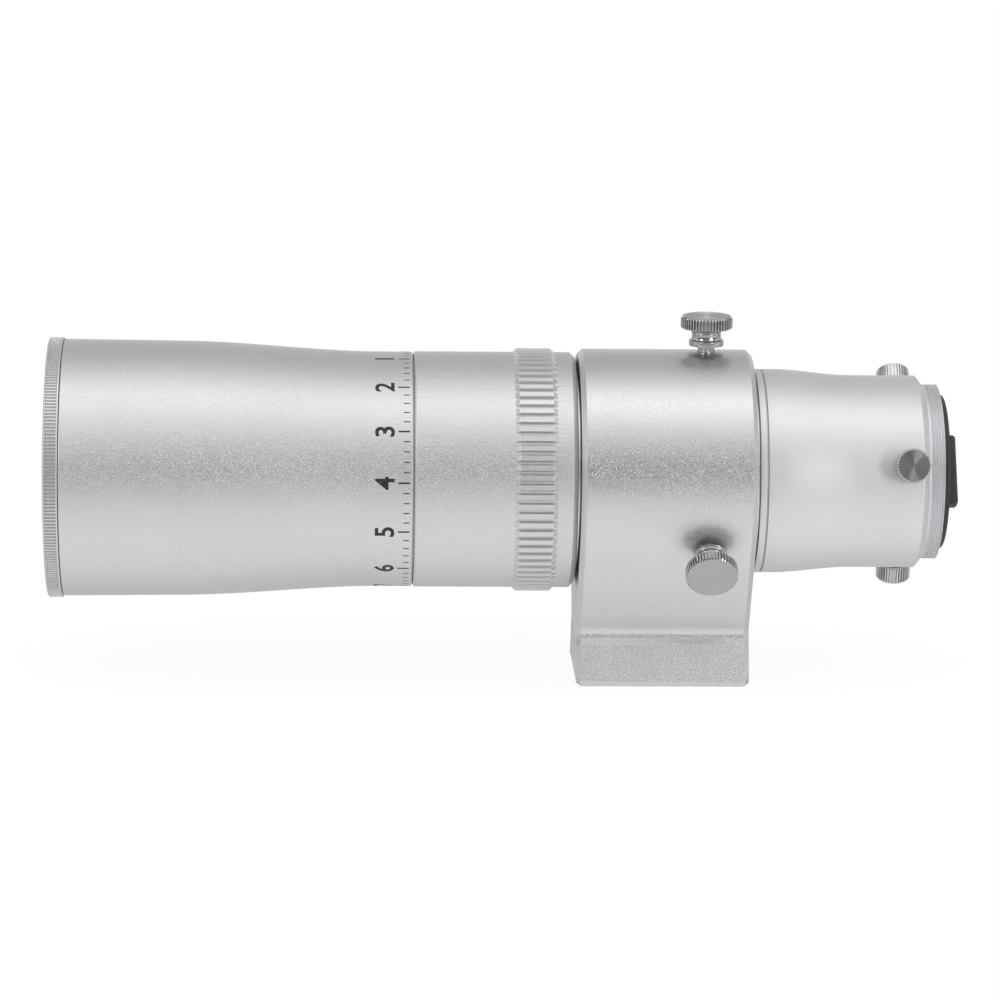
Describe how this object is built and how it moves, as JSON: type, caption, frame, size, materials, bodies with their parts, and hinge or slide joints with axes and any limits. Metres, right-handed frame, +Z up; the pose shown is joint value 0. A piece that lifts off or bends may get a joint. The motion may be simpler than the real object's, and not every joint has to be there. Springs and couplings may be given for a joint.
{
  "type": "finder scope",
  "caption": "Silver finder and guide scope: flared objective barrel, ribbed helical focus ring, ring bracket with dovetail foot and aim screws, threaded eye end with clamp screws and dust plug.",
  "frame": {"origin": "centre of the bracket foot's underside", "axes": "+X along the tube towards the eye end, +Z up, +Y away from the side with the front clamp screw"},
  "size_m": [0.218, 0.0712, 0.0879],
  "materials": {
    "silver_aluminium": "bead-blasted and clear anodised, satin",
    "bright_aluminium": "fine turned, clear anodised",
    "black_aluminium": "matt black anodised",
    "stainless_steel": "turned and polished",
    "optical_glass": "polished, antireflection coated",
    "black_plastic": "moulded, fine texture",
    "nylon": "natural nylon, matt",
    "black_rubber": "matt",
    "brass": "turned"
  },
  "bodies": {
    "bracket": {"bracket": "silver_aluminium"},
    "aim_screw_top": {"aim_screw_top": "stainless_steel", "aim_screw_tip_top": "nylon"},
    "aim_screw_front": {"aim_screw_front": "stainless_steel", "aim_screw_tip_front": "nylon"},
    "aim_screw_back": {"aim_screw_back": "stainless_steel", "aim_screw_tip_back": "nylon"},
    "o_ring": {"o_ring": "black_rubber"},
    "tube": {"main_tube": "bright_aluminium", "tube_end_ring": "silver_aluminium", "nosepiece_holder": "silver_aluminium", "compression_ring": "brass", "guide_key": "stainless_steel", "guide_key_screws": "stainless_steel", "thrust_washer_front": "nylon", "thrust_washer_rear": "nylon", "baffle_front": "black_aluminium", "baffle_middle": "black_aluminium", "baffle_rear": "black_aluminium"},
    "focus_ring": {"focus_ring": "silver_aluminium", "focus_lock_ring": "black_aluminium"},
    "barrel": {"objective_barrel": "silver_aluminium", "helicoid_tube": "bright_aluminium", "lens_cell": "black_aluminium", "crown_lens": "optical_glass", "lens_spacer": "black_aluminium", "flint_lens": "optical_glass", "lens_retainer": "black_aluminium"},
    "cap": {"front_cap": "silver_aluminium"},
    "clamp_screw_front": {"clamp_screw_front": "stainless_steel"},
    "clamp_screw_top": {"clamp_screw_top": "stainless_steel"},
    "clamp_screw_bottom": {"clamp_screw_bottom": "stainless_steel"},
    "plug": {"dust_plug": "black_plastic"}
  },
  "joints": [
    {"name": "aim_yaw", "type": "hinge", "parent": "bracket", "child": "o_ring", "pos_m": [-0.0175, 0, 0.05], "axis": [0, 0, 1], "range_deg": [-0.8, 0.8]},
    {"name": "aim_pitch", "type": "hinge", "parent": "o_ring", "child": "tube", "pos_m": [-0.0175, 0, 0.05], "axis": [0, 1, 0], "range_deg": [-0.8, 0.8]},
    {"name": "aim_screw_top_travel", "type": "slide", "parent": "bracket", "child": "aim_screw_top", "axis": [0, 0, 1], "range_m": [-0.0004, 0.0004]},
    {"name": "aim_screw_front_travel", "type": "slide", "parent": "bracket", "child": "aim_screw_front", "axis": [0, -0.866, -0.5], "range_m": [-0.0004, 0.0004]},
    {"name": "aim_screw_back_travel", "type": "slide", "parent": "bracket", "child": "aim_screw_back", "axis": [0, 0.866, -0.5], "range_m": [-0.0004, 0.0004]},
    {"name": "focus_turn", "type": "hinge", "parent": "tube", "child": "focus_ring", "pos_m": [-0.04, 0, 0.05], "axis": [1, 0, 0], "range_deg": [0, 300]},
    {"name": "barrel_travel", "type": "slide", "parent": "tube", "child": "barrel", "axis": [-1, 0, 0], "range_m": [0, 0.012]},
    {"name": "cap_pull", "type": "slide", "parent": "barrel", "child": "cap", "axis": [-1, 0, 0], "range_m": [0, 0.02]},
    {"name": "clamp_screw_front_travel", "type": "slide", "parent": "tube", "child": "clamp_screw_front", "axis": [0, -0.9677, 0.2521], "range_m": [0, 0.003]},
    {"name": "clamp_screw_top_travel", "type": "slide", "parent": "tube", "child": "clamp_screw_top", "axis": [0, 0.7022, 0.712], "range_m": [0, 0.003]},
    {"name": "clamp_screw_bottom_travel", "type": "slide", "parent": "tube", "child": "clamp_screw_bottom", "axis": [0, 0.2656, -0.9641], "range_m": [0, 0.003]},
    {"name": "plug_pull", "type": "slide", "parent": "tube", "child": "plug", "axis": [1, 0, 0], "range_m": [0, 0.03]}
  ],
  "couplings": [
    {"joint": "aim_screw_top_travel", "follows": "aim_pitch", "m_per_rad": -0.0274},
    {"joint": "aim_screw_front_travel", "follows": "aim_yaw", "m_per_rad": -0.023729},
    {"joint": "aim_screw_back_travel", "follows": "aim_yaw", "m_per_rad": 0.023729},
    {"joint": "barrel_travel", "follows": "focus_turn", "m_per_rad": 0.0022918}
  ]
}
